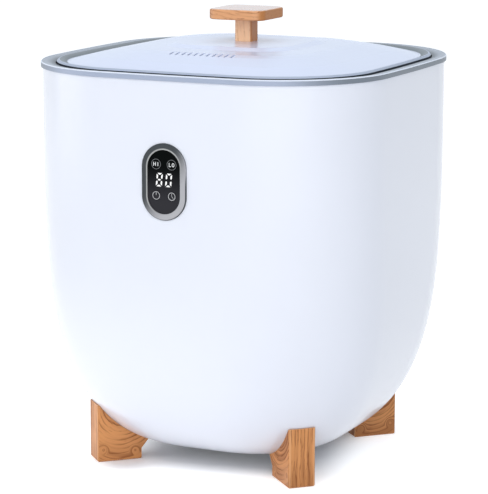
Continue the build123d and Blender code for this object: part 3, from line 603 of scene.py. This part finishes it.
board_skin, entry, exits = start_group("circuit board", [
    ("Mask", colour_socket, board_green),
    ("Track", colour_socket, track_green),
    ("Track Scale", number_socket, 260.0),
], skin_outputs)
place = spot_on(board_skin)
cells = add(board_skin, "ShaderNodeTexVoronoi", {
    "Vector": place, "Scale": entry["Track Scale"], "Randomness": 0.55,
}, distance="CHEBYCHEV").outputs["Distance"]
track_start, track_end = ease(board_skin, cells, 0.30, 0.34), ease(board_skin, cells, 0.50, 0.46)
track = product(board_skin, track_start, track_end)
end_group(board_skin, exits, {
    "Base Color": mix_colour(board_skin, track, entry["Mask"], entry["Track"]),
    "Roughness": calc(board_skin, "MULTIPLY_ADD", track, -0.06, 0.36),
    "Height": track,
})
board_material = finish("green circuit board", board_skin, {}, {"Coat Weight": 0.3}, bump=0.3)
dress(board_material, "power_board")
green_plastic = finish(
    "green terminal plastic", moulded_skin,
    {"Colour": terminal_green, "Mottle": 0.12, "Shine": 0.45},
    {"Specular IOR Level": 0.45}, bump=0.2, edge=0.0002,
)
dress(green_plastic, "terminal_block")
dress(black_plastic, "relay", "filter_capacitor")
dress(plated_steel, "board_screws")

# --- Cord gland ---
# Black nylon gland through the flat pad low on the back, pulled up by a
# hexagon nut inside the wall.
nylon_black = (0.028, 0.028, 0.03, 1.0)

gland_nylon = finish(
    "black nylon", moulded_skin,
    {"Colour": nylon_black, "Mottle": 0.25, "Grain Scale": 1600.0, "Shine": 0.52},
    {"Specular IOR Level": 0.4}, bump=0.3, edge=0.0003,
)
dress(gland_nylon, "cord_gland", "gland_nut")

# --- Control panel ---
# Satin silver racetrack bezel pressed into the wall, with painted reflection, highlight and
# shade, round a smoked acrylic lens that is black at its head and greyed by a painted
# reflection at its foot. The display board stands close behind in a white frame.
bezel_dark = (0.055, 0.06, 0.064, 1.0)
bezel_painted_reflection = (0.36, 0.355, 0.37, 1.0)
bezel_painted_highlight = (0.36, 0.36, 0.35, 1.0)
bezel_rim_painted_shade = (0.05, 0.055, 0.06, 1.0)
bezel_line = 0.0009
bezel_rim = 0.0008
bezel_slant = -0.7
painted_reflection_side = (-0.010, 0.020)
line_side = (0.016, -0.006)
rim_heights = (0.012, -0.004)
lens_window = 0.0142
lens_black_head = 0.016
lens_painted_reflection_rise = 0.012
lens_head = (0.0012, 0.0022, 0.0022, 1.0)
lens_foot_painted_reflection = (0.034, 0.033, 0.038, 1.0)

satin_silver = finish(
    "satin silver", metal_skin,
    {"Colour": bezel_dark, "Grain Scale": 1800.0, "Shine": 0.33, "Shine Spread": 0.12},
    {"Metallic": 0.9}, bump=0.12,
)
bezel_low, bezel_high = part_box("panel_bezel")
bezel_outer = (bezel_high[0] - bezel_low[0]) / 2
bezel_straight = (bezel_high[2] - bezel_low[2]) / 2 - bezel_outer
panel_middle = (bezel_high[2] + bezel_low[2]) / 2
# The bezel is a racetrack, so places on it are told by their distance from its
# upright middle line. A painted reflection brightens it towards its right foot, a
# painted highlight lines it at the lens, and painted shade darkens its lower rim.
tree = satin_silver.node_tree
where = axes(tree, spot_on(tree))
up = calc(tree, "SUBTRACT", where[2], panel_middle)
past_straight = calc(tree, "SUBTRACT", calc(tree, "ABSOLUTE", up), bezel_straight)
past_straight = calc(tree, "MAXIMUM", past_straight, 0.0)
squares = product(tree, past_straight, past_straight)
from_spine = calc(tree, "SQRT", calc(tree, "MULTIPLY_ADD", where[0], where[0], squares))
slant = calc(tree, "MULTIPLY_ADD", up, bezel_slant, where[0])
overlay(satin_silver, ease(tree, slant, *painted_reflection_side), bezel_painted_reflection)
line_outer, line_inner = (lens_window + share * bezel_line for share in (1.6, 0.6))
painted_highlight_line = ease(tree, from_spine, line_outer, line_inner)
painted_highlight_line = product(tree, painted_highlight_line, ease(tree, slant, *line_side))
overlay(satin_silver, painted_highlight_line, bezel_painted_highlight)
rim_inner, rim_outer = (bezel_outer - share * bezel_rim for share in (1.0, 0.4))
painted_shade_line = ease(tree, from_spine, rim_inner, rim_outer)
painted_shade_line = product(tree, painted_shade_line, ease(tree, up, *rim_heights))
overlay(satin_silver, painted_shade_line, bezel_rim_painted_shade)
dress(satin_silver, "panel_bezel")
gloss_black = finish(
    "smoked acrylic", moulded_skin,
    {"Colour": lens_head, "Mottle": 0.4, "Patch Scale": 60.0, "Shine": 0.12, "Shine Spread": 0.05},
    {"Specular IOR Level": 0.03}, bump=0.02,
)
# Painted reflection: the lens greys from black at its head to charcoal at its foot.
tree = gloss_black.node_tree
painted_reflection_fade = ease(
    tree, axes(tree, spot_on(tree))[2],
    bezel_high[2] - lens_black_head, bezel_low[2] + lens_painted_reflection_rise,
)
overlay(gloss_black, painted_reflection_fade, lens_foot_painted_reflection)
dress(gloss_black, "panel_lens", "key_hi", "key_lo", "key_power", "key_timer")
dress(inner_plastic, "panel_housing")
dress(board_material, "display_board")
dress(black_plastic, "digit_display", "key_switches")
dress(plated_steel, "panel_screws", "display_screws")

# --- Keys, their marks and the digits ---
# Four short-travel keys in the lens, each with its mark printed on its face with a painted glow.
# The two slanted seven-segment digits are lit white.
print_depth = 0.00004
mark_white = (0.50, 0.51, 0.51, 1.0)
icon_grey = (0.40, 0.40, 0.41, 1.0)
ring_mark_grey = (0.16, 0.165, 0.17, 1.0)
lit_grey = (0.30, 0.30, 0.30, 1.0)
digit_width = 0.0053
digit_height = 0.0106
digit_stroke = 0.0013
digit_gap = 0.0007
digit_pitch = 0.0081
digit_slant = math.tan(math.radians(5.4))
letter_height = 0.0031
letter_stroke = 0.00052
ring_stroke = 0.00032
key_ring_radius = 0.0039
h_left, h_right, i_middle = -0.0022, -0.0004, 0.0016
l_left, l_right, o_middle, o_width = -0.0021, -0.0004, 0.0013, 0.0018
icon_radius = 0.0030
icon_stroke = 0.00042
power_foot = 0.0004
power_head_gap = 0.0002
clock_radius = 0.0029
clock_stroke = 0.8 * icon_stroke
minute_hand = 0.0023
hour_hand = [(0.0002, -0.0001), (0.0013, -0.0016)]
tick_count = 7
tick_start = 200
tick_step = 23
tick_reach = 0.00045
tick_stroke = 0.00022


def printed_ink(name, colour, glow):
    """Screen-printed ink with a white glow: painted light on the key marks, the display's own light
    on the digits.
    """
    shader = {"Emission Strength": glow, "Emission Color": white}
    values = {"Colour": colour, "Mottle": 0.05, "Patch Scale": 900.0, "Shine": 0.4}
    return finish(name, moulded_skin, values, shader, bump=0.1)


def oval(x, z, across, up, stroke, steps=40):
    """Outer and inner loop of an oval stroke, from its half sizes."""
    turns = [2 * math.pi * step / steps for step in range(steps)]
    return tuple(
        [(x + (across + grow) * math.cos(turn), z + (up + grow) * math.sin(turn)) for turn in turns]
        for grow in (stroke / 2, -stroke / 2)
    )


def bar(start, end, stroke):
    """Straight stroke between two points, with square ends."""
    run, rise = end[0] - start[0], end[1] - start[1]
    length = math.hypot(run, rise)
    side = (-rise / length * stroke / 2, run / length * stroke / 2)
    corners = [(start, -1), (end, -1), (end, 1), (start, 1)]
    return [(point[0] + sign * side[0], point[1] + sign * side[1]) for point, sign in corners]


def printed(name, shapes, face, material, body):
    """Thin closed prints on a front face, from loops or from pairs of loops."""
    form = bmesh.new()
    faces = []
    for shape in shapes:
        loops = shape if isinstance(shape, tuple) else (shape,)
        rows = [[form.verts.new((x, face, z)) for x, z in loop] for loop in loops]
        if len(rows) == 1:
            faces.append(form.faces.new(rows[0]))
            continue
        for index in range(len(rows[0])):
            after = (index + 1) % len(rows[0])
            corners = (rows[0][index], rows[0][after], rows[1][after], rows[1][index])
            faces.append(form.faces.new(corners))
    grown = bmesh.ops.extrude_face_region(form, geom=faces, use_keep_orig=True)["geom"]
    for vertex in (item for item in grown if isinstance(item, bmesh.types.BMVert)):
        vertex.co.y -= print_depth
    bmesh.ops.recalc_face_normals(form, faces=form.faces[:])
    mesh = bpy.data.meshes.new(name)
    form.to_mesh(mesh)
    form.free()
    piece = bpy.data.objects.new(name, mesh)
    bpy.context.scene.collection.objects.link(piece)
    mesh.materials.append(material)
    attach(piece, body)


def key_centre(name):
    """Middle of a key's face as x and z, and the place of the face."""
    low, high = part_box(name)
    return (low[0] + high[0]) / 2, (low[2] + high[2]) / 2, low[1]


# The glow of the key marks is painted light that brightens their print.
white_ink = printed_ink("white ink", mark_white, 0.30)
icon_ink = printed_ink("icon ink", icon_grey, 0.12)
ring_ink = printed_ink("ring ink", ring_mark_grey, 0.02)
half_letter = letter_height / 2
half_stroke = letter_stroke / 2


def upright(x):
    """Upright stroke of a letter."""
    return bar((x, -half_letter), (x, half_letter), letter_stroke)


def moved(loop, x, z):
    """Loop of points, or a tuple of loops, moved to a place."""
    if isinstance(loop, tuple):
        return tuple(moved(part, x, z) for part in loop)
    return [(x + u, z + v) for u, v in loop]


low_line = half_stroke - half_letter
half_o = (letter_height - letter_stroke) / 2
for name, shapes in (
    ("key_hi", [
        upright(h_left), upright(h_right),
        bar((h_left + half_stroke, 0.0), (h_right - half_stroke, 0.0), letter_stroke),
        upright(i_middle),
    ]),
    ("key_lo", [
        upright(l_left),
        bar((l_left + half_stroke, low_line), (l_right, low_line), letter_stroke),
        oval(o_middle, 0.0, o_width / 2, half_o, letter_stroke, steps=32),
    ]),
):
    x, z, face = key_centre(name)
    placed = [moved(shape, x, z) for shape in shapes]
    ring = oval(x, z, key_ring_radius, key_ring_radius, ring_stroke)
    printed(f"{name}_letters", placed, face, white_ink, name)
    printed(f"{name}_ring", [ring], face, ring_ink, name)

x, z, face = key_centre("key_power")
power_head = icon_radius - icon_stroke / 2 - power_head_gap
printed("power_mark", [
    oval(x, z, icon_radius, icon_radius, icon_stroke),
    bar((x, z + power_foot), (x, z + power_head), icon_stroke),
], face, icon_ink, "key_power")

x, z, face = key_centre("key_timer")
ticks = []
for step in range(tick_count):
    turn = math.radians(tick_start + step * tick_step)
    ends = [
        (x + out * math.cos(turn), z + out * math.sin(turn))
        for out in (clock_radius + icon_stroke / 2, icon_radius + tick_reach)
    ]
    ticks.append(bar(*ends, tick_stroke))
printed("timer_mark", [
    oval(x, z, clock_radius, clock_radius, icon_stroke),
    bar((x, z), (x, z + minute_hand), clock_stroke),
    bar(*moved(hour_hand, x, z), clock_stroke),
] + ticks, face, icon_ink, "key_timer")


def segment_loops():
    """The seven segments by letter, with mitred ends and a gap between neighbours."""
    w, h, t, g = digit_width, digit_height, digit_stroke, digit_gap
    m = h / 2
    top = [(g, h), (w - g, h), (w - t - g, h - t), (t + g, h - t)]
    upper = [(0, h - g), (t, h - t - g), (t, m + t / 2 + g), (t / 2, m + g), (0, m + t / 2 + g)]
    middle = [
        (t / 2 + g, m), (t + g, m + t / 2), (w - t - g, m + t / 2),
        (w - t / 2 - g, m), (w - t - g, m - t / 2), (t + g, m - t / 2),
    ]

    def mirrored(loop, across, down):
        return [(w - u if across else u, h - v if down else v) for u, v in loop]

    return {
        "a": top, "d": mirrored(top, False, True), "g": middle,
        "f": upper, "b": mirrored(upper, True, False),
        "e": mirrored(upper, False, True), "c": mirrored(upper, True, True),
    }


low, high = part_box("digit_display")
digits_middle = ((low[0] + high[0]) / 2, (low[2] + high[2]) / 2)
lens_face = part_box("panel_lens")[0][1]
loops = segment_loops()
lit_ink = printed_ink("lit digit", lit_grey, 0.75)
for place_name, lit, side in (("tens", "abcdefg", -0.5), ("units", "abcdef", 0.5)):
    left = digits_middle[0] + side * digit_pitch - digit_width / 2
    foot_z = digits_middle[1] - digit_height / 2
    shapes = [
        [(left + u + (v - digit_height / 2) * digit_slant, foot_z + v) for u, v in loops[letter]]
        for letter in lit
    ]
    printed(f"digit_{place_name}", shapes, lens_face, lit_ink, "bucket")

# --- Lid ---
# Glossy white stepped cover on a satin grey ring with painted shade on its inward slope and a
# wall painted near black as shade, closed below by a dished white plate over a silicone seal.
lid_white = (0.745, 0.805, 1.0, 1.0)
ring_crest = (0.45, 0.51, 0.63, 1.0)
ring_wall_painted_shade = (0.012, 0.018, 0.032, 1.0)
ring_slope_painted_shade_high = (0.20, 0.225, 0.245, 1.0)
ring_slope_painted_shade_low = (0.12, 0.145, 0.16, 1.0)
ring_fall = (0.3311, 0.3329)
ring_slope_turn = (-0.08, -0.2)
ring_wall_tilt = (0.4, 0.2)

lid_gloss = finish(
    "glossy lid plastic", moulded_skin,
    {"Colour": lid_white, "Mottle": 0.02, "Shine": 0.24, "Shine Spread": 0.05},
    {"Coat Weight": 0.3, "Coat Roughness": 0.16}, bump=0.03, edge=0.0005,
)
dress(lid_gloss, "lid_cover")
ring_plastic = finish(
    "satin grey ring", moulded_skin,
    {"Colour": ring_crest, "Mottle": 0.05, "Patch Scale": 30.0, "Shine": 0.36, "Shine Spread": 0.1},
    {"Specular IOR Level": 0.35}, bump=0.12,
)
tree = ring_plastic.node_tree
sides = add(tree, "ShaderNodeGroup", node_tree=tilt).outputs
# Painted shade: the inward slope darkens towards the cover.
slope_part = ease(tree, sides["Rise"], *ring_fall)
painted_slope_shade = mix_colour(tree, slope_part, ring_slope_painted_shade_low, ring_slope_painted_shade_high)
overlay(ring_plastic, ease(tree, sides["Outward"], *ring_slope_turn), painted_slope_shade)
# Painted shade: the ring's wall, seen through the gap to the rim, is painted near black.
overlay(ring_plastic, ease(tree, sides["Up"], *ring_wall_tilt), ring_wall_painted_shade)
dress(ring_plastic, "lid_ring")
dress(silicone, "lid_seal")
dress(inner_plastic, "lid_inner_plate")
dress(plated_steel, "lid_screws")

# --- Knob ---
# Square slab with rounded corners on a short square stem, in paler oiled wood
# with a lacquered top, pulled down by one screw from inside the lid.
# The stem's wood is painted brighter than the slab's, to cancel the slab's shadow on it.
stem_light_painted_bright = (0.97, 0.62, 0.38, 1.0)
slab_light = (0.78, 0.385, 0.18, 1.0)
knob_side_painted_shade = (0.46, 0.165, 0.035, 1.0)
knob_dark = (0.30, 0.095, 0.028, 1.0)
side_shade = 0.8
side_turn = (0.45, 0.85)
lacquer_tilt = (0.5, 0.9)


def knob_wood(name, light, rotation, offset, ring_width, contrast, flecks):
    """Oiled wood with its grain along one direction of the piece."""
    values = {
        "Light": light, "Dark": knob_dark, "Ring Width": ring_width,
        "Contrast": contrast, "Streaks": 0.3, "Flecks": flecks,
    }
    shader = {"Specular IOR Level": 0.3, "Coat Roughness": 0.1, "Coat IOR": 1.9}
    material = finish(name, wood_grain, values, shader, bump=0.22, depth=0.0002, edge=0.0005)
    tree = material.node_tree
    sockets = {"Vector": spot_on(tree), "Rotation": rotation, "Location": offset}
    grow_along(material, add(tree, "ShaderNodeMapping", sockets).outputs[0])
    # Painted shade: faces turned left or right are darkened.
    to_the_side = calc(tree, "ABSOLUTE", axes(tree, spot_on(tree, "Normal"))[0])
    overlay(material, product(tree, ease(tree, to_the_side, *side_turn), side_shade), knob_side_painted_shade)
    level = add(tree, "ShaderNodeGroup", node_tree=tilt).outputs["Up"]
    coat = tree.nodes["Principled BSDF"].inputs["Coat Weight"]
    tree.links.new(ease(tree, level, *lacquer_tilt), coat)
    # Painted highlight round the knob's edges.
    paint_edge_highlight(material, wood_arris_highlight, 0.0007, 4.0)
    return material


stem_wood = knob_wood(
    "knob stem wood", stem_light_painted_bright, (0.12, 0.1, 0.4), (0.03, 0.02, 0.0),
    ring_width=0.0060, contrast=0.3, flecks=0.2,
)
slab_wood = knob_wood(
    "knob slab wood", slab_light, (0.1, math.radians(88.0), 0.15), (0.35, 0.01, 0.02),
    ring_width=0.0030, contrast=0.5, flecks=0.6,
)
dress(stem_wood, "knob_stem")
dress(slab_wood, "knob_top")
dress(plated_steel, "knob_screw", "knob_washer")
